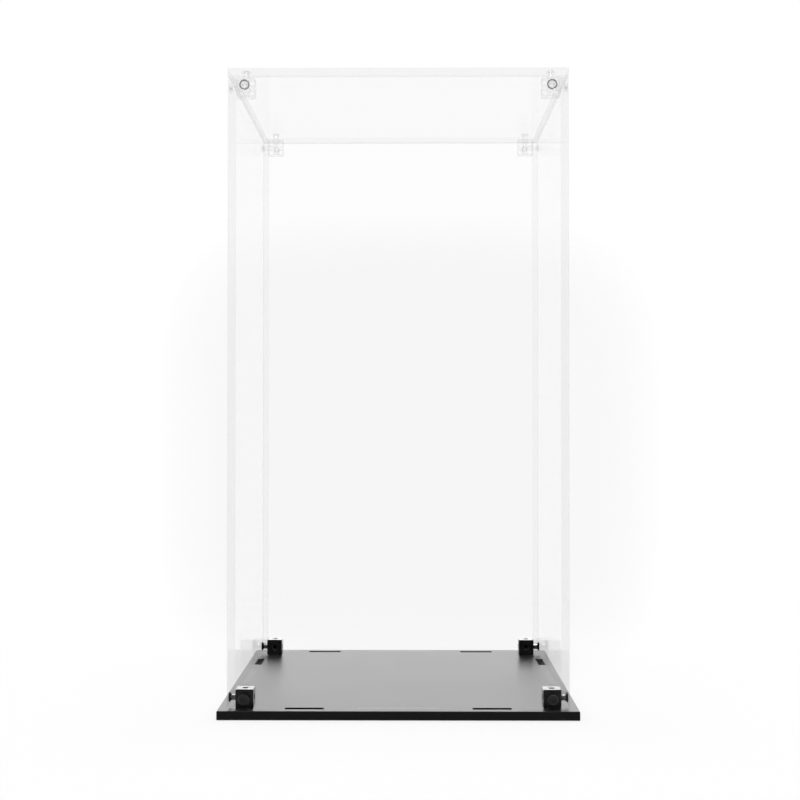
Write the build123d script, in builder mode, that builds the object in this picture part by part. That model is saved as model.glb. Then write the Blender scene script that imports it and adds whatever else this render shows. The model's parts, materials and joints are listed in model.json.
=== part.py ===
from build123d import *
import os

os.makedirs("parts", exist_ok=True)

# A clear display case that stands on a black base plate and lifts off it.
# Millimetres, +Z up, +Y to the back. The origin is the middle of the underside of the base plate.

# Case and base plate
case_width = 226.0
case_depth = 220.0
wall_height = 419.0
panel_thickness = 5.0
base_thickness = 6.0
base_overhang = 6.0
base_edge_chamfer = 0.4

# Tabs along the lower edges of the walls, and their slots in the base plate
tab_width = 25.0
tab_length = 5.7
tab_offset = 62.0
tab_corner_radius = 1.0
slot_end_clearance = 0.5
slot_side_clearance = 0.15

# Shallow relief of the lower edges, so that a wall stands only beside its tabs
relief_height = 0.3
middle_relief_half = 26.5
corner_relief_start = 84.5

# Corner blocks
block_size = 12.0
block_edge_chamfer = 0.3
bore_diameter = 3.6
bore_depth = 4.0

# Countersunk screws
screw_length = 8.0
head_diameter = 7.2
stem_diameter = 3.5
head_seat_gap = 0.05
panel_hole_diameter = 4.4

# Sizes that follow from those above
base_width = case_width + 2 * base_overhang
base_depth = case_depth + 2 * base_overhang
block_inset = panel_thickness + block_size / 2
block_x = case_width / 2 - block_inset
block_y = case_depth / 2 - block_inset
low_block_z = base_thickness + block_size / 2
high_block_z = base_thickness + wall_height - block_size / 2
side_wall_span = case_depth - 2 * panel_thickness
slot_length = tab_width + 2 * slot_end_clearance
slot_breadth = panel_thickness + 2 * slot_side_clearance
sink_diameter = head_diameter + 2 * head_seat_gap
head_height = (head_diameter - stem_diameter) / 2

# The planes of the outer faces. Each x runs along the wall and each z points out of the case.
front_face = Plane(origin=(0, -case_depth / 2, base_thickness), x_dir=(1, 0, 0), z_dir=(0, -1, 0))
back_face = Plane(origin=(0, case_depth / 2, base_thickness), x_dir=(-1, 0, 0), z_dir=(0, 1, 0))
left_face = Plane(origin=(-case_width / 2, 0, base_thickness), x_dir=(0, -1, 0), z_dir=(-1, 0, 0))
right_face = Plane(origin=(case_width / 2, 0, base_thickness), x_dir=(0, 1, 0), z_dir=(1, 0, 0))
top_face = Plane.XY.offset(base_thickness + wall_height + panel_thickness)


def save(piece, name):
    """Label a finished piece and write it under its own name."""
    piece.part.label = name
    export_step(piece.part, f"parts/{name}.step")


# The base plate is one slab with chamfered rims and eight slots that run right through.
with BuildPart() as base_plate:
    with BuildSketch(Plane.XY):
        Rectangle(base_width, base_depth)
    extrude(amount=base_thickness)
    chamfer(base_plate.faces().filter_by(Axis.Z).edges(), length=base_edge_chamfer)
    slot_line_y = (case_depth - panel_thickness) / 2
    slot_line_x = (case_width - panel_thickness) / 2
    with BuildSketch(Plane.XY):
        with GridLocations(2 * tab_offset, 2 * slot_line_y, 2, 2):
            Rectangle(slot_length, slot_breadth)
        with GridLocations(2 * slot_line_x, 2 * tab_offset, 2, 2):
            Rectangle(slot_breadth, slot_length)
    extrude(amount=base_thickness, mode=Mode.SUBTRACT)
save(base_plate, "base_plate")


def wall_panel(outer, span, screw_offset):
    """A wall: a flat sheet with two tabs below, a relieved lower edge and four countersunk holes."""
    corner_relief = span / 2 - corner_relief_start
    with BuildPart() as wall:
        with BuildSketch(outer) as outline:
            with Locations((0, wall_height / 2)):
                Rectangle(span, wall_height)
            with Locations((0, relief_height / 2)):
                Rectangle(2 * middle_relief_half, relief_height, mode=Mode.SUBTRACT)
            corner_middle = corner_relief_start + corner_relief / 2
            with Locations((-corner_middle, relief_height / 2), (corner_middle, relief_height / 2)):
                Rectangle(corner_relief, relief_height, mode=Mode.SUBTRACT)
            with Locations((-tab_offset, 0), (tab_offset, 0)):
                Rectangle(tab_width, 2 * tab_length)
            tab_tips = outline.vertices().group_by(Axis.Y)[0]
            fillet(tab_tips, radius=tab_corner_radius)
        extrude(amount=-panel_thickness)
        with Locations(outer):
            low = block_size / 2
            high = wall_height - block_size / 2
            places = [(side * screw_offset, height) for side in (-1, 1) for height in (low, high)]
            with Locations(*places):
                CounterSinkHole(panel_hole_diameter / 2, sink_diameter / 2, panel_thickness, 90)
    return wall


# The front and back walls span the full width. The side walls stand between them.
save(wall_panel(front_face, case_width, block_x), "front_panel")
save(wall_panel(back_face, case_width, block_x), "back_panel")
save(wall_panel(left_face, side_wall_span, block_y), "left_panel")
save(wall_panel(right_face, side_wall_span, block_y), "right_panel")

# The top panel lies over the edges of all four walls.
with BuildPart() as top_panel:
    with BuildSketch(top_face):
        Rectangle(case_width, case_depth)
    extrude(amount=-panel_thickness)
    with Locations(top_face):
        with GridLocations(2 * block_x, 2 * block_y, 2, 2):
            CounterSinkHole(panel_hole_diameter / 2, sink_diameter / 2, panel_thickness, 90)
save(top_panel, "top_panel")


def corner_block(centre_x, centre_y, centre_z):
    """A cube with chamfered edges and a blind bore in the middle of every face."""
    with BuildPart() as block:
        with BuildSketch(Plane(origin=(centre_x, centre_y, centre_z - block_size / 2))):
            Rectangle(block_size, block_size)
        extrude(amount=block_size)
        chamfer(block.edges(), length=block_edge_chamfer)
        sides = block.faces().sort_by(SortBy.AREA)[-6:]
        with Locations(*sides):
            Hole(bore_diameter / 2, bore_depth)
    return block


sides_x = {"left": -1, "right": 1}
sides_y = {"front": -1, "back": 1}
levels = {"bottom": low_block_z, "top": high_block_z}
for level, centre_z in levels.items():
    for row, toward_back in sides_y.items():
        for side, toward_right in sides_x.items():
            block = corner_block(toward_right * block_x, toward_back * block_y, centre_z)
            save(block, f"{level}_block_{row}_{side}")


def countersunk_screw(seat):
    """A screw whose flat head lies in the plane of its seat, with its stem towards the block."""
    head_radius = head_diameter / 2
    stem_radius = stem_diameter / 2
    profile = Plane(origin=seat.origin, x_dir=seat.x_dir, z_dir=-seat.y_dir)
    with BuildPart() as screw:
        with BuildSketch(profile):
            with BuildLine():
                Polyline(
                    (0, 0),
                    (head_radius, 0),
                    (stem_radius, -head_height),
                    (stem_radius, -screw_length),
                    (0, -screw_length),
                    close=True,
                )
            make_face()
        revolve(axis=Axis(seat.origin, seat.z_dir))
    return screw


# Four screws hold each wall to the corner blocks: two above and two below.
walls = {
    "front": (front_face, block_x, ("left", "right")),
    "back": (back_face, block_x, ("right", "left")),
    "left": (left_face, block_y, ("back", "front")),
    "right": (right_face, block_y, ("front", "back")),
}
for wall, (outer, offset, ends) in walls.items():
    for end, along in zip(ends, (-offset, offset)):
        for level, centre_z in levels.items():
            seat = outer.shift_origin(outer.from_local_coords((along, centre_z - base_thickness, 0)))
            save(countersunk_screw(seat), f"{wall}_screw_{level}_{end}")

# Four more hold the top panel down on the upper blocks.
for row, toward_back in sides_y.items():
    for side, toward_right in sides_x.items():
        seat = top_face.shift_origin(
            top_face.from_local_coords((toward_right * block_x, toward_back * block_y, 0))
        )
        save(countersunk_screw(seat), f"top_screw_{row}_{side}")
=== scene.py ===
import json
import math

import bmesh
import bpy
from mathutils import Matrix, Vector
from mathutils.geometry import tessellate_polygon

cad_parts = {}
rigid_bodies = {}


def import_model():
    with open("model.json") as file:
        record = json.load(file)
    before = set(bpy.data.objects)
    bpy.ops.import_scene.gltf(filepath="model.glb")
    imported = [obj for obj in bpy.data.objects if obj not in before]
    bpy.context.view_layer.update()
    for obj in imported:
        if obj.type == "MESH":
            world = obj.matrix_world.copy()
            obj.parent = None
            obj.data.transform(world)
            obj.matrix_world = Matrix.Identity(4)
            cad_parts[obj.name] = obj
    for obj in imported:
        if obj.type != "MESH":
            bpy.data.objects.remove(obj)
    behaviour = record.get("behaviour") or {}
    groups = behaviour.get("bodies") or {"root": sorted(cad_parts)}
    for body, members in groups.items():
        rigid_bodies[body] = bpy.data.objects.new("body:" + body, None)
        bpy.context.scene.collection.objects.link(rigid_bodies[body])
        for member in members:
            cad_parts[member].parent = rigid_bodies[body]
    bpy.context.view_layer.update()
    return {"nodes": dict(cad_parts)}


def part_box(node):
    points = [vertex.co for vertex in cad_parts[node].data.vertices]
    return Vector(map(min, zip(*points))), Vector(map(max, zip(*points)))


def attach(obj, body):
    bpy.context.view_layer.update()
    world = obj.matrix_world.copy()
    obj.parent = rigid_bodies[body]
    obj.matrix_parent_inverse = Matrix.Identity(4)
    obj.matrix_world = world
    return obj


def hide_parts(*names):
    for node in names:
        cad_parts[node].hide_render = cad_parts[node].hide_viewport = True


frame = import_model()

# Base plate: one slab of black gloss acrylic with eight slots for the tabs of the walls.
# It is cut from cast sheet. Its two faces keep a soft shine and its sawn edges are darker.
mm = 0.001
base_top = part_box("base_plate")[1].z
level_limit = 0.9


class Ink:
    """A socket in a node tree. Arithmetic on it adds the Math node that does the sum."""

    def __init__(self, tree, socket=None):
        self.tree = tree
        self.socket = socket

    def node(self, kind, settings=(), sockets=(), out=0):
        """Add one node. Its settings come first, then a value or a link for each named socket."""
        made = self.tree.nodes.new(kind)
        for name, value in dict(settings).items():
            setattr(made, name, value)
        for name, value in dict(sockets).items():
            if isinstance(value, Ink):
                self.tree.links.new(value.socket, made.inputs[name])
            else:
                made.inputs[name].default_value = value
        return Ink(self.tree, made.outputs[out] if len(made.outputs) else None)

    def maths(self, operation, first, second):
        return self.node("ShaderNodeMath", {"operation": operation}, {0: first, 1: second})

    def __add__(self, other):
        return self.maths("ADD", self, other)

    def __radd__(self, other):
        return self.maths("ADD", other, self)

    def __sub__(self, other):
        return self.maths("SUBTRACT", self, other)

    def __rsub__(self, other):
        return self.maths("SUBTRACT", other, self)

    def __mul__(self, other):
        return self.maths("MULTIPLY", self, other)

    def __rmul__(self, other):
        return self.maths("MULTIPLY", other, self)

    def __truediv__(self, other):
        return self.maths("DIVIDE", self, other)

    def __rtruediv__(self, other):
        return self.maths("DIVIDE", other, self)

    def over(self, limit):
        """One where this value is over a limit, and zero elsewhere."""
        return self.maths("GREATER_THAN", self, limit)

    def held(self):
        """This value, held between zero and one."""
        return self.node("ShaderNodeClamp", {}, {"Value": self})

    def mix(self, first, second):
        """A colour between two others, with this value as the share of the second."""
        return self.node("ShaderNodeMix", {"data_type": "RGBA"}, {0: self, 6: first, 7: second}, out=2)

    def part(self, axis):
        """The X, Y or Z of this vector."""
        return self.node("ShaderNodeSeparateXYZ", {}, {"Vector": self}, out=axis)

    def length(self):
        """The length of this vector."""
        return self.node("ShaderNodeVectorMath", {"operation": "LENGTH"}, {0: self}, out="Value")

    def noise(self, scale, detail):
        """Cloudy noise over this place."""
        return self.node("ShaderNodeTexNoise", {}, {"Vector": self, "Scale": scale, "Detail": detail})


def new_material(name):
    """A material with an empty node tree, and the ink that writes in it."""
    material = bpy.data.materials.new(name)
    material.use_nodes = True
    tree = material.node_tree
    tree.nodes.clear()
    return material, Ink(tree)


def own_place(ink):
    """A place on the piece, in the piece's own frame."""
    return ink.node("ShaderNodeTexCoord", out="Object")


def finish_material(ink, sockets):
    """Join one principled shader with these sockets to the output."""
    shader = ink.node("ShaderNodeBsdfPrincipled", {}, sockets)
    ink.node("ShaderNodeOutputMaterial", {}, {"Surface": shader})


def black_gloss_acrylic():
    """Black sheet with faint smears. Its level faces carry a second, softer shine."""
    material, ink = new_material("black_gloss_acrylic")
    smears = own_place(ink).noise(scale=18.0, detail=5.0)
    grain = own_place(ink).noise(scale=900.0, detail=2.0)
    rise = ink.node("ShaderNodeNewGeometry", out="Normal").part("Z")
    level_face = (rise * rise).over(level_limit)
    smear_share = 0.4
    darkest = (0.007, 0.007, 0.0072, 1)
    palest = (0.012, 0.012, 0.0123, 1)
    finish_material(ink, {
        "Base Color": (smears * smear_share + grain * (1 - smear_share)).mix(darkest, palest),
        "Roughness": smears * 0.08 + 0.3,
        "IOR": 1.35,
        "Coat Weight": level_face,
        "Coat Roughness": 0.34,
        "Normal": ink.node("ShaderNodeBump", {}, {"Height": grain, "Strength": 0.02, "Distance": 0.2 * mm}),
    })
    return material


plate_mesh = frame["nodes"]["base_plate"].data
plate_mesh.materials.clear()
plate_mesh.materials.append(black_gloss_acrylic())

# Walls: four sheets of clear cast acrylic, 5 mm thick, with laser cut and polished edges.
# Each stands on the base plate with two tabs in its slots, and screws hold it to the corner blocks.
front_low, front_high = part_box("front_panel")
top_low, top_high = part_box("top_panel")
block_low, block_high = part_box("bottom_block_front_left")
half_width = front_high.x
half_depth = top_high.y
side_half_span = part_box("right_panel")[1].y
wall_height = top_low.z - base_top
sheet = top_high.z - top_low.z
joint_air = 0.03 * mm
stand_sink = 0.02 * mm
tab_half = 12.5 * mm
tab_middle = 62.0 * mm
tab_length = base_top - front_low.z
tab_round = 1.0 * mm
tab_round_steps = 4
relief = 0.3 * mm
middle_relief = 26.5 * mm
corner_relief = 84.5 * mm
sink_radius = 3.7 * mm
hole_radius = 2.2 * mm
hole_steps = 64
block_half = (block_high.x - block_low.x) / 2
block_middle = (block_low + block_high) / 2
block_x = -block_middle.x
block_y = -block_middle.y
hole_low = block_middle.z - base_top
hole_high = top_low.z - block_half - base_top
polished, cut, drilled = range(3)


def wall_outline(half_span, height):
    """The outline of a wall: down its left edge, along its relieved foot with both tabs, and up again."""
    foot = -stand_sink
    right = [(middle_relief, relief), (middle_relief, foot), (tab_middle - tab_half, foot)]
    for side, start in ((-1, math.pi), (1, 1.5 * math.pi)):
        centre = tab_middle + side * (tab_half - tab_round)
        for step in range(tab_round_steps + 1):
            angle = start + step * math.pi / 2 / tab_round_steps
            x = centre + tab_round * math.cos(angle)
            right.append((x, tab_round - tab_length + tab_round * math.sin(angle)))
    right += [(tab_middle + tab_half, foot), (corner_relief, foot), (corner_relief, relief)]
    right += [(half_span, relief), (half_span, height)]
    left = [(-x, y) for x, y in reversed(right)]
    return left + right


def circle(radius, steps, x=0.0, y=0.0):
    turn = [2 * math.pi * step / steps for step in range(steps)]
    return [(x + radius * math.cos(angle), y + radius * math.sin(angle)) for angle in turn]


def ring(form, place, points, depth):
    """A loop of vertices through flat points, at one depth along the z of a place."""
    return [form.verts.new(place @ Vector((x, y, depth))) for x, y in points]


def lace(form, rings, finish=0):
    """Join each ring of vertices to the next with a band of faces."""
    for first, second in zip(rings, rings[1:]):
        for index, vert in enumerate(first):
            after = (index + 1) % len(first)
            band = form.faces.new((vert, first[after], second[after], second[index]))
            band.material_index = finish


def cap(form, place, loops):
    """Fill the flat face between an outer loop of vertices and the loops within it."""
    flat = [[place.inverted() @ vert.co for vert in loop] for loop in loops]
    verts = [vert for loop in loops for vert in loop]
    for corner in tessellate_polygon(flat):
        form.faces.new([verts[index] for index in corner])


def finished(form, name):
    """The mesh of a closed form, with all its faces turned outwards."""
    bmesh.ops.recalc_face_normals(form, faces=form.faces)
    mesh = bpy.data.meshes.new(name)
    form.to_mesh(mesh)
    form.free()
    return mesh


def cut_sheet(name, place, outline, holes):
    """A sheet whose outer face lies at a place. Each countersunk hole gives its x, its y and its finish.

    The faces that look down, at the foot of a wall, are left polished.
    """
    form = bmesh.new()
    inner = joint_air - sheet
    throat = hole_radius - sink_radius
    outer_loops = [ring(form, place, outline, 0)]
    inner_loops = [ring(form, place, outline, inner)]
    lace(form, [outer_loops[0], inner_loops[0]], cut)
    for x, y, finish in holes:
        outer_loops.append(ring(form, place, circle(sink_radius, hole_steps, x, y), 0))
        narrow = ring(form, place, circle(hole_radius, hole_steps, x, y), throat)
        inner_loops.append(ring(form, place, circle(hole_radius, hole_steps, x, y), inner))
        lace(form, [outer_loops[-1], narrow], polished)
        lace(form, [narrow, inner_loops[-1]], finish)
    cap(form, place, outer_loops)
    cap(form, place, inner_loops)
    mesh = finished(form, name)
    for face in mesh.polygons:
        if face.normal.z < -level_limit:
            face.material_index = polished
    return bpy.data.objects.new(name, mesh)


def show(piece, materials, node):
    """Dress a piece, link it to the scene, and let it ride with the case in place of its CAD node."""
    bpy.context.scene.collection.objects.link(piece)
    for material in materials:
        piece.data.materials.append(material)
    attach(piece, "case")
    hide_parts(node)


def slant_of(ink):
    """How far a surface leans away from the eye, from 0 square on to 1 edge on."""
    return ink.node("ShaderNodeLayerWeight", {}, {"Blend": 0.5}, out="Facing")


def clear_film(ink, mirrored, shaded, passed, held_back, frosted=False):
    """A clear surface, which sends back the share mirrored and passes the rest straight on.

    It passes the share passed where it isn't shaded, and the share held_back where it is.
    A frosted surface scatters what it sends back.
    """
    haze = own_place(ink).noise(scale=6.0, detail=3.0)
    shine = ink.node("ShaderNodeBsdfPrincipled", {}, {
        "Base Color": haze.mix((0.76, 0.77, 0.77, 1), (0.82, 0.82, 0.82, 1)),
        "Metallic": 0.0 if frosted else 1.0,
        "Roughness": haze * 0.1 + 0.4 if frosted else haze * 0.03,
    })
    open_window = ink.node("ShaderNodeBsdfTransparent", {}, {"Color": (passed, passed, passed, 1)})
    dim_window = ink.node("ShaderNodeBsdfTransparent", {}, {"Color": (held_back, held_back, held_back, 1)})
    window = ink.node("ShaderNodeMixShader", {}, {0: shaded, 1: open_window, 2: dim_window})
    surface = ink.node("ShaderNodeMixShader", {}, {0: mirrored, 1: window, 2: shine})
    ink.node("ShaderNodeOutputMaterial", {}, {"Surface": surface})


def clear_sheet():
    """The polished faces of a sheet, almost unseen square on."""
    material, ink = new_material("clear_acrylic")
    slant = slant_of(ink)
    steep = slant * slant * slant
    mirrored = steep * slant * slant * 0.3 + 0.003
    clear_film(ink, mirrored, shaded=steep, passed=0.997, held_back=0.95)
    return material


def cut_edge():
    """The cut edges of a sheet, which hold back a little light from every side."""
    material, ink = new_material("clear_acrylic_cut_edge")
    slant = slant_of(ink)
    scattered = slant * slant * slant * 0.1 + 0.06
    clear_film(ink, scattered, shaded=slant * 0.5 + 0.25, passed=0.99, held_back=0.92, frosted=True)
    return material


def drilled_wall():
    """The holes round the black screws, which throw most light aside. Clear screws leave no such gleam."""
    material, ink = new_material("clear_acrylic_drilled")
    slant = slant_of(ink)
    mirrored = (slant * 5 + 0.3).held() * 0.8
    clear_film(ink, mirrored, shaded=slant, passed=0.97, held_back=0.9)
    return material


def facing(origin, along, outward):
    """A frame with x along a wall, y up it and z out of the case."""
    along, outward = Vector(along), Vector(outward)
    upward = outward.cross(along)
    turn = Matrix((along, upward, outward)).transposed().to_4x4()
    return Matrix.Translation(origin) @ turn


# A line of sight crosses dozens of clear surfaces, more than the few that a render allows by itself.
bpy.context.scene.cycles.transparent_max_bounces = 64
acrylic = (clear_sheet(), cut_edge(), drilled_wall())
faces = {
    "front": facing((0, -half_depth, base_top), (1, 0, 0), (0, -1, 0)),
    "back": facing((0, half_depth, base_top), (-1, 0, 0), (0, 1, 0)),
    "left": facing((-half_width, 0, base_top), (0, -1, 0), (-1, 0, 0)),
    "right": facing((half_width, 0, base_top), (0, 1, 0), (1, 0, 0)),
}
for wall, place in faces.items():
    broad = wall in ("front", "back")
    half_span = half_width if broad else side_half_span - joint_air
    offset = block_x if broad else block_y
    outline = wall_outline(half_span, wall_height - joint_air)
    heights = ((hole_low, drilled), (hole_high, polished))
    holes = [(side * offset, height, finish) for side in (-1, 1) for height, finish in heights]
    piece = cut_sheet(f"{wall}_wall", place, outline, holes)
    show(piece, acrylic, f"{wall}_panel")

# Top panel: a fifth clear sheet that lies over the upper edges of all four walls.
# Four countersunk screws pull it down on the upper corner blocks.
top_place = Matrix.Translation((0, 0, top_high.z))


def rectangle(half_x, half_y):
    return [(-half_x, -half_y), (half_x, -half_y), (half_x, half_y), (-half_x, half_y)]


top_holes = [(side * block_x, row * block_y, polished) for side in (-1, 1) for row in (-1, 1)]
top_sheet = cut_sheet("top_sheet", top_place, rectangle(half_width, half_depth), top_holes)
show(top_sheet, acrylic, "top_panel")

# Corner blocks: eight moulded cubes with a tapped blind bore in each face and softly broken edges.
# The lower four are black like the base plate, and the upper four are clear like the walls.
edge_round = 0.3 * mm
edge_round_steps = 2
cube_sides = 6
bore_depth = 4.0 * mm
mouth_radius = 2.2 * mm
bore_inner = 1.72 * mm
bore_outer = 2.04 * mm
bore_fade = 0.4 * mm
drill_tip = 0.9 * mm
pitch = 0.7 * mm
thread_steps = 6
turn_steps = 24
rows = {"front": -1, "back": 1}
sides = {"left": -1, "right": 1}
levels = {"bottom": block_middle.z, "top": top_low.z - block_half}
flip = Matrix.Rotation(math.pi, 4, "X")


def thread_wave(depth, angle):
    """How far a thread stands out, from 0 to 1, at a depth and an angle.

    Its crest takes up a third of its pitch, and its root is sharp.
    """
    phase = (depth / pitch + angle / (2 * math.pi)) % 1
    return min(1.0, max(0.0, 1.5 - 3 * abs(phase - 0.5)))


def threaded_rings(form, place, start, end, inner, outer, fade):
    """Rings of vertices down a threaded wall between two depths. The thread fades out at both ends."""
    count = max(2, round((start - end) / pitch * thread_steps))
    rings = []
    for step in range(count + 1):
        depth = start + (end - start) * step / count
        share = min(1.0, min(start - depth, depth - end) / fade)
        points = []
        for index in range(turn_steps):
            angle = 2 * math.pi * index / turn_steps
            radius = inner + (outer - inner) * share * thread_wave(depth, angle)
            points.append((radius * math.cos(angle), radius * math.sin(angle)))
        rings.append(ring(form, place, points, depth))
    return rings


def bored_cube(name, centre, seats):
    """A cube with broken edges. Each seat is the frame of one bore, with its z out of the cube."""
    form = bmesh.new()
    bmesh.ops.create_cube(form, size=2 * (block_half - joint_air), matrix=Matrix.Translation(centre))
    sharp = form.edges[:] + form.verts[:]
    bmesh.ops.bevel(form, geom=sharp, offset=edge_round, segments=edge_round_steps, affect="EDGES")
    form.normal_update()
    flats = sorted(form.faces, key=lambda face: face.calc_area())[-cube_sides:]
    rims = [(face.verts[:], face.normal.copy()) for face in flats]
    bmesh.ops.delete(form, geom=flats, context="FACES_ONLY")
    for rim, normal in rims:
        seat = max(seats, key=lambda each: normal.dot(each.col[2].to_3d()))
        face_depth = (rim[0].co - seat.translation).dot(normal)
        throat_depth = face_depth - (mouth_radius - bore_inner)
        floor_depth = face_depth - bore_depth
        mouth = ring(form, seat, circle(mouth_radius, turn_steps), face_depth)
        wall = threaded_rings(form, seat, throat_depth, floor_depth, bore_inner, bore_outer, bore_fade)
        lace(form, [mouth, *wall])
        tip = form.verts.new(seat @ Vector((0, 0, floor_depth - drill_tip)))
        floor = wall[-1]
        for index, vert in enumerate(floor):
            form.faces.new((vert, floor[(index + 1) % turn_steps], tip))
        cap(form, seat, (rim, mouth))
    return bpy.data.objects.new(name, finished(form, name))


def black_block_plastic():
    """Black moulded plastic. The tops of the blocks carry a second, softer shine."""
    material, ink = new_material("black_block_plastic")
    grain = own_place(ink).noise(scale=2500.0, detail=3.0)
    cloud = own_place(ink).noise(scale=120.0, detail=3.0)
    lid = ink.node("ShaderNodeNewGeometry", out="Normal").part("Z").over(level_limit)
    finish_material(ink, {
        "Base Color": cloud.mix((0.01, 0.01, 0.0098, 1), (0.016, 0.016, 0.0156, 1)),
        "Roughness": cloud * 0.1 + 0.12 + lid * 0.15,
        "IOR": 1.45,
        "Coat Weight": lid,
        "Coat Roughness": 0.25,
        "Normal": ink.node("ShaderNodeBump", {}, {"Height": grain, "Strength": 0.08, "Distance": 0.1 * mm}),
    })
    return material


def clear_block_acrylic():
    """Clear plastic that shows by its slanting faces, such as its broken edges and its threads."""
    material, ink = new_material("clear_block_acrylic")
    slant = slant_of(ink)
    steep = slant * slant * slant
    mirrored = steep * slant * slant * 0.2 + 0.005
    clear_film(ink, mirrored, shaded=steep, passed=0.99, held_back=0.8)
    return material


def seat_on(face, along, height):
    """The frame of a screw in a wall: its origin on the outer face and its z out of the case."""
    return face @ Matrix.Translation((along, height, 0))


def opposite(seat, centre):
    """The same seat on the far side of a centre, facing the other way."""
    across = 2 * (seat.translation - centre).length
    return seat @ Matrix.Translation((0, 0, -across)) @ flip


block_kinds = {
    "bottom": (black_block_plastic(), "black_block_plastic"),
    "top": (clear_block_acrylic(), "clear_block_acrylic"),
}
for level, middle_z in levels.items():
    for row, row_sign in rows.items():
        for side, side_sign in sides.items():
            centre = Vector((side_sign * block_x, row_sign * block_y, middle_z))
            rise = middle_z - base_top
            row_seat = seat_on(faces[row], centre.x if row == "front" else -centre.x, rise)
            side_seat = seat_on(faces[side], -centre.y if side == "left" else centre.y, rise)
            if level == "top":
                level_seat = Matrix.Translation((centre.x, centre.y, top_high.z))
            else:
                level_seat = Matrix.Translation((centre.x, centre.y, base_top)) @ flip
            near_seats = [row_seat, side_seat, level_seat]
            far_seats = [opposite(seat, centre) for seat in near_seats]
            piece = bored_cube(f"{level}_corner_{row}_{side}", centre, near_seats + far_seats)
            material, slot = block_kinds[level]
            show(piece, (material,), f"{level}_block_{row}_{side}")

# Screws: M4 by 8 mm, countersunk, with a cross recess and a rolled thread, moulded in plastic.
# Black ones hold the walls to the lower blocks. Clear ones hold the walls and the top to the upper blocks.
screw_length = 8.0 * mm
head_radius = 3.6 * mm
head_sink = 0.03 * mm
rim_round = 0.4 * mm
stem_inner = 1.6 * mm
stem_outer = 1.94 * mm
stem_fade = 0.5 * mm
neck_length = 0.6 * mm
point_length = 0.5 * mm
point_slope = 0.45 * mm
recess_reach = 1.8 * mm
recess_half = 0.5 * mm
recess_depth = 1.6 * mm
recess_share = 0.7


def cross_outline(reach, half):
    """The outline of a cross, from the reach of its arms and half their width."""
    quarter = [(reach, -half), (reach, half), (half, half)]
    turned = []
    for turns in range(4):
        for x, y in quarter:
            for turn in range(turns):
                x, y = -y, x
            turned.append((x, y))
    return turned


def screw_mesh(material):
    """One screw along its own z, with the face of its head a hair below zero."""
    form = bmesh.new()
    own = Matrix.Identity(4)
    crown = ring(form, own, circle(head_radius - rim_round, turn_steps), -head_sink)
    roll = []
    for angle in (math.pi / 6, math.pi / 3, math.pi / 2):
        radius = head_radius - rim_round * (1 - math.sin(angle))
        depth = -head_sink - rim_round * (1 - math.cos(angle))
        roll.append(ring(form, own, circle(radius, turn_steps), depth))
    neck_depth = -head_sink - rim_round - (head_radius - stem_inner)
    thread_start = neck_depth - neck_length
    thread_end = point_length - screw_length
    neck = ring(form, own, circle(stem_inner, turn_steps), neck_depth)
    thread = threaded_rings(form, own, thread_start, thread_end, stem_inner, stem_outer, stem_fade)
    tip = ring(form, own, circle(stem_inner - point_slope, turn_steps), -screw_length)
    lace(form, [crown, *roll, neck, *thread, tip])
    form.faces.new(tip)
    mouth = ring(form, own, cross_outline(recess_reach, recess_half), -head_sink)
    floor_outline = cross_outline(recess_reach * recess_share, recess_half * recess_share)
    floor = ring(form, own, floor_outline, -head_sink - recess_depth)
    lace(form, [mouth, floor])
    form.faces.new(floor)
    cap(form, own, (crown, mouth))
    mesh = finished(form, "screw")
    mesh.materials.append(material)
    return mesh


def black_screw_nylon():
    material, ink = new_material("black_screw_nylon")
    cloud = own_place(ink).noise(scale=300.0, detail=3.0)
    finish_material(ink, {
        "Base Color": cloud.mix((0.005, 0.005, 0.0053, 1), (0.01, 0.01, 0.0105, 1)),
        "Roughness": cloud * 0.1 + 0.2,
        "IOR": 1.53,
        "Coat Weight": 0.5,
        "Coat Roughness": 0.12,
    })
    return material


def clear_screw_plastic():
    """Clear plastic. A painted dark ring lies on the rim of the head, seen from the front, and painted dark
    spots lie on two arms of the recess.
    """
    material, ink = new_material("clear_screw_plastic")
    slant = slant_of(ink)
    square_on = 1 - slant
    steep = slant * slant * slant
    place = own_place(ink)
    sideways = place.part("X")
    across = ink.node("ShaderNodeVectorMath", {"operation": "MULTIPLY"}, {0: place, 1: (1, 1, 0)})
    radius = across.length()
    painted_ring_start = 2.4 * mm
    painted_ring_fade = 0.2 * mm
    crown = ink.node("ShaderNodeTexCoord", out="Normal").part("Z").over(0.1)
    # Painted shade: a dark ring on the rim of the head, placed by its distance from the axis. It holds back
    # light and mirrors the dim front of the room.
    rim = ((radius - painted_ring_start) / painted_ring_fade).held() * crown * square_on * square_on * square_on * square_on
    painted_spot_start = 0.6 * mm
    recess_edge = 2.2 * mm
    recess_floor = -recess_depth - 0.1 * mm
    # Painted shade: dark spots on the two side arms of the recess, placed by their distance from the
    # middle.
    arms = (sideways * sideways).over(painted_spot_start * painted_spot_start) * (slant * 2).held()
    recess = place.part("Z").over(recess_floor) * (recess_edge - radius).over(0) * arms
    shaded = (rim + recess * square_on * 1.3 + steep * 0.2).held()
    clear_film(ink, steep * 0.1 + rim * 0.8 + 0.01, shaded, passed=0.99, held_back=0.5)
    return material


screw_kinds = {
    "bottom": (screw_mesh(black_screw_nylon()), "black_screw_nylon"),
    "top": (screw_mesh(clear_screw_plastic()), "clear_screw_plastic"),
}


def place_screw(name, seat, level, node):
    """A screw in its seat. All the screws of one level share a mesh, which is dressed already."""
    mesh, slot = screw_kinds[level]
    piece = bpy.data.objects.new(name, mesh)
    piece.matrix_world = seat
    show(piece, (), node)


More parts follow.
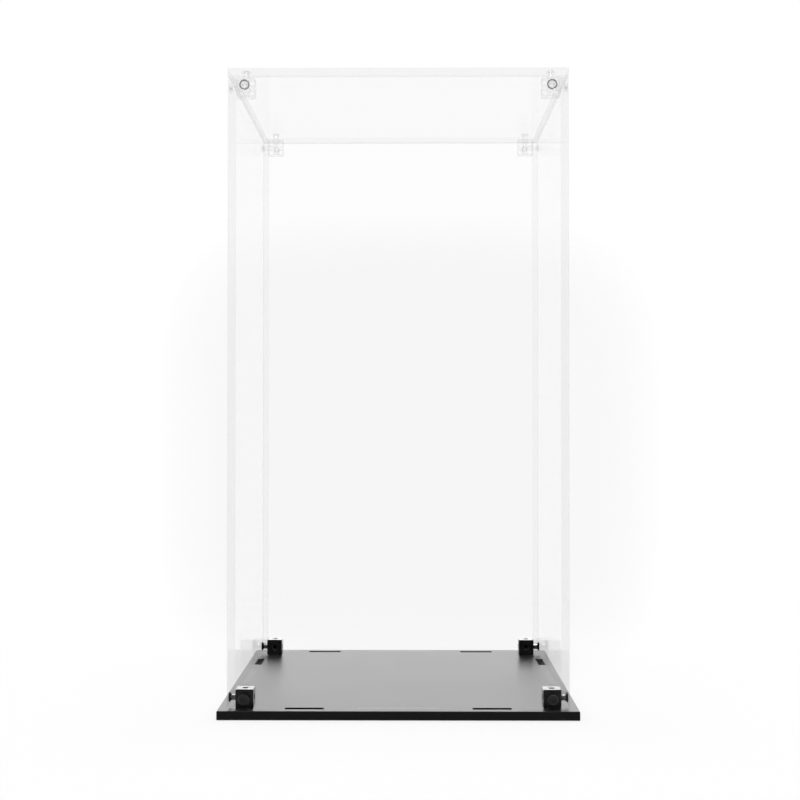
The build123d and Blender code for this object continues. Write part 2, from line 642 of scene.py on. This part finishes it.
wall_ends = {
    "front": ("left", "right"),
    "back": ("right", "left"),
    "left": ("back", "front"),
    "right": ("front", "back"),
}
for wall, ends in wall_ends.items():
    offset = block_x if wall in ("front", "back") else block_y
    for end, sign in zip(ends, (-1, 1)):
        for level, middle_z in levels.items():
            seat = seat_on(faces[wall], sign * offset, middle_z - base_top)
            place_screw(f"{wall}_bolt_{level}_{end}", seat, level, f"{wall}_screw_{level}_{end}")
for row, row_sign in rows.items():
    for side, side_sign in sides.items():
        seat = top_place @ Matrix.Translation((side_sign * block_x, row_sign * block_y, 0))
        place_screw(f"top_bolt_{row}_{side}", seat, "top", f"top_screw_{row}_{side}")

# Floor: white ground round the base plate that takes its shadow and fades out into the white room.
# It lies a hair below the underside of the plate, and most of it is see-through.
floor_reach = 0.6
floor_drop = 0.2 * mm
fade_start = 0.2
fade_span = 0.35
least_clear = 0.78
floor_mesh = bpy.data.meshes.new("floor")
floor_corners = [(x, y, -floor_drop) for x, y in rectangle(floor_reach, floor_reach)]
floor_mesh.from_pydata(floor_corners, [], [(0, 1, 2, 3)])
floor = bpy.data.objects.new("floor", floor_mesh)
bpy.context.scene.collection.objects.link(floor)
floor_material, ink = new_material("white_floor")
faded = ((own_place(ink).length() - fade_start) / fade_span).held()
clearness = faded * (1 - least_clear) + least_clear
lit = ink.node("ShaderNodeBsdfDiffuse", {}, {"Color": (0.97, 0.97, 0.97, 1)})
gone = ink.node("ShaderNodeBsdfTransparent", {}, {"Color": (1, 1, 1, 1)})
ground = ink.node("ShaderNodeMixShader", {}, {0: clearness, 1: lit, 2: gone})
ink.node("ShaderNodeOutputMaterial", {}, {"Surface": ground})
floor_mesh.materials.append(floor_material)

# Light: a room that the camera sees white, with a painted shadow of the case, a faint grey patch, on its
# back wall.
# It lights the case less from the front. One soft box hangs above, and one stands low behind.
patch_half_width = 0.19
patch_half_height = 0.18
patch_drop = 0.027
painted_shadow_grey = 0.06
front_level = 0.2
back_lift = 0.25
world = bpy.data.worlds.new("room")
bpy.context.scene.world = world
world.use_nodes = True
world.node_tree.nodes.clear()
ink = Ink(world.node_tree)
ray = ink.node("ShaderNodeTexCoord", out="Generated")
toward_back = ray.part("Y")
slope_x = ray.part("X") / toward_back / patch_half_width
slope_z = (ray.part("Z") / toward_back + patch_drop) / patch_half_height
corner_x = slope_x * slope_x
corner_z = slope_z * slope_z
within = ((1 - corner_x * corner_x - corner_z * corner_z) * 1.5).held()
# Painted shadow: a soft grey patch on the back wall, seen by the camera and through clear parts, stands for
# the case's shadow there.
painted_shadow = within * toward_back.over(0.5)
seen = ink.node("ShaderNodeLightPath", out="Is Camera Ray")
through = ink.node("ShaderNodeLightPath", out="Is Transmission Ray")
direct = (seen + through).held()
side_level = (toward_back * 2.0 + 1.0).held() * (1 - front_level) + front_level
room_level = side_level + (toward_back * 3.0 - 2.0).held() * back_lift
strength = direct * (1 - painted_shadow * painted_shadow_grey) + (1 - direct) * room_level
background = ink.node("ShaderNodeBackground", {}, {"Color": (1, 1, 1, 1), "Strength": strength})
ink.node("ShaderNodeOutputWorld", {}, {"Surface": background})


def soft_box(name, width, height, power, place, target):
    """A rectangular lamp at a place, turned to shine on a target."""
    lamp = bpy.data.lights.new(name, "AREA")
    lamp.shape = "RECTANGLE"
    lamp.size = width
    lamp.size_y = height
    lamp.energy = power
    stand = bpy.data.objects.new(name, lamp)
    stand.location = place
    stand.rotation_mode = "QUATERNION"
    stand.rotation_quaternion = (Vector(target) - Vector(place)).to_track_quat("-Z", "Y")
    stand.visible_camera = False
    bpy.context.scene.collection.objects.link(stand)
    return stand


soft_box("top_box", width=0.5, height=0.4, power=6.0, place=(0, 0.1, 1.4), target=(0, 0, 0))
low_box = soft_box("low_box", width=0.8, height=0.3, power=1.2, place=(0, 1.2, 0.35), target=(0, 0, 0.02))
# The low box lights only the four black blocks.
black_cubes = bpy.data.collections.new("black_cubes")
for piece in bpy.context.scene.objects:
    if piece.name.startswith("bottom_corner"):
        black_cubes.objects.link(piece)
low_box.light_linking.receiver_collection = black_cubes

# Camera: a little below the middle of the case, almost square on, with a 60 mm lens.
# Its place and turn were fitted to the edges of the case in the photo.
camera_data = bpy.data.cameras.new("camera")
camera_data.sensor_width = 36.0
camera_data.lens = 60.0
camera = bpy.data.objects.new("camera", camera_data)
camera.location = (7.5 * mm, -990.4 * mm, 197.6 * mm)
yaw = math.radians(-0.41)
pitch_up = math.radians(0.79)
gaze = Vector((math.sin(yaw) * math.cos(pitch_up), math.cos(yaw) * math.cos(pitch_up), math.sin(pitch_up)))
camera.rotation_mode = "QUATERNION"
camera.rotation_quaternion = gaze.to_track_quat("-Z", "Y")
bpy.context.scene.collection.objects.link(camera)
bpy.context.scene.camera = camera
bpy.context.scene.view_settings.view_transform = "Standard"
